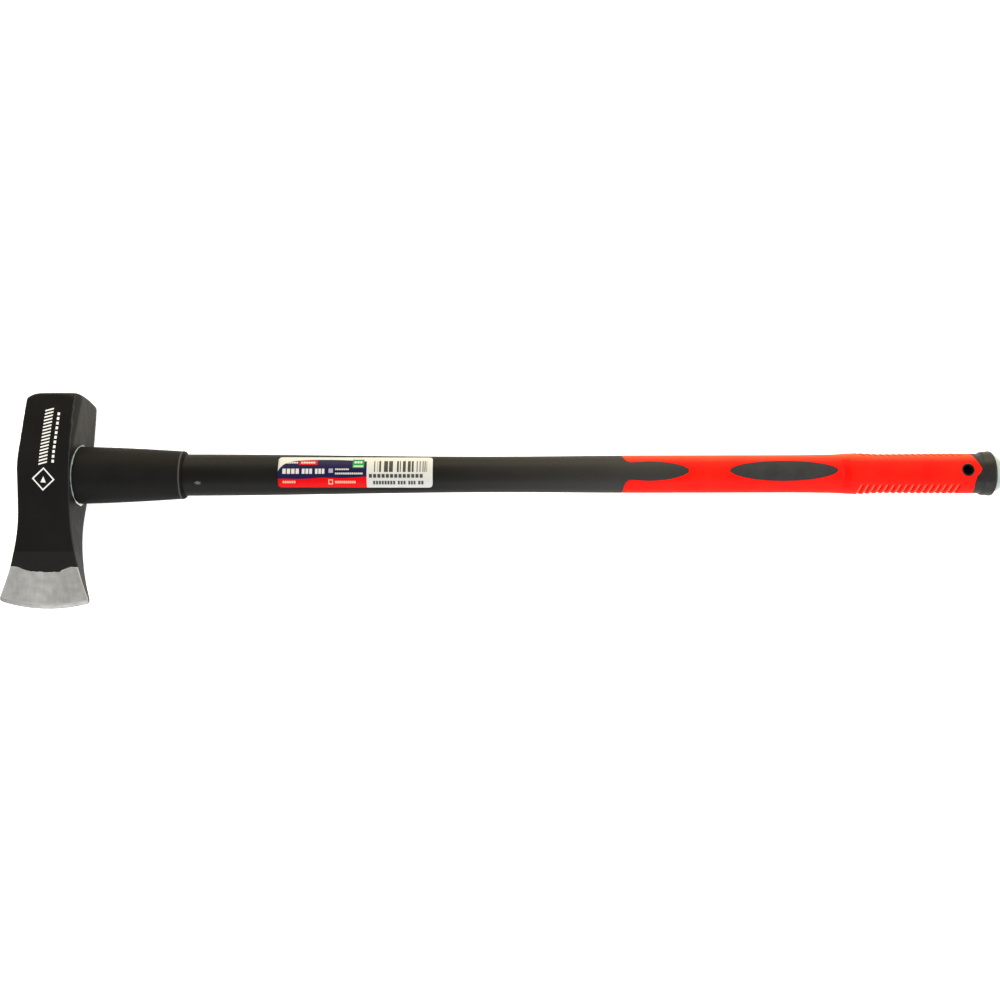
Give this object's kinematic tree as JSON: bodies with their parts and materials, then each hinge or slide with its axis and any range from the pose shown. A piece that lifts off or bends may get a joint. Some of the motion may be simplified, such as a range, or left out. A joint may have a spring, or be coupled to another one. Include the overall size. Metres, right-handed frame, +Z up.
{
  "type": "splitting maul",
  "caption": "Two-handed splitting maul: wedge-shaped steel head with an octagonal poll on a fibreglass-cored plastic handle with a red soft grip and a hang hole.",
  "frame": {"origin": "on the surface that the maul lies on, under the middle of its bounding box", "axes": "+X along the handle from the head to the butt, +Y from the cutting edge to the poll, +Z up through the thickness of the head, out of the labelled side"},
  "size_m": [0.914, 0.1944, 0.0632],
  "materials": {
    "head_paint": "satin black powder paint over forged steel, ground bare at the edge",
    "eye_resin": "cast resin, slightly cloudy",
    "core_fibreglass": "pultruded glass rod, cut end",
    "adhesive": "squeezed-out adhesive",
    "collar_rubber": "smooth matte",
    "jacket_plastic": "fine satin moulded",
    "label_film": "printed film, semi-gloss",
    "grip_red": "soft satin moulded",
    "pad_rubber": "fine matte texture",
    "cap_plastic": "satin moulded",
    "plug_plastic": "cloudy pale plastic"
  },
  "bodies": {
    "root": {"maul_head": "head_paint", "eye_epoxy": "eye_resin", "fibreglass_core": "core_fibreglass", "adhesive_bead": "adhesive", "overstrike_collar": "collar_rubber", "handle_jacket": "jacket_plastic", "product_label": "label_film", "grip_sleeve": "grip_red", "grip_pad_front": "pad_rubber", "grip_pad_back": "pad_rubber", "butt_cap": "cap_plastic", "butt_plug": "plug_plastic"}
  },
  "joints": []
}
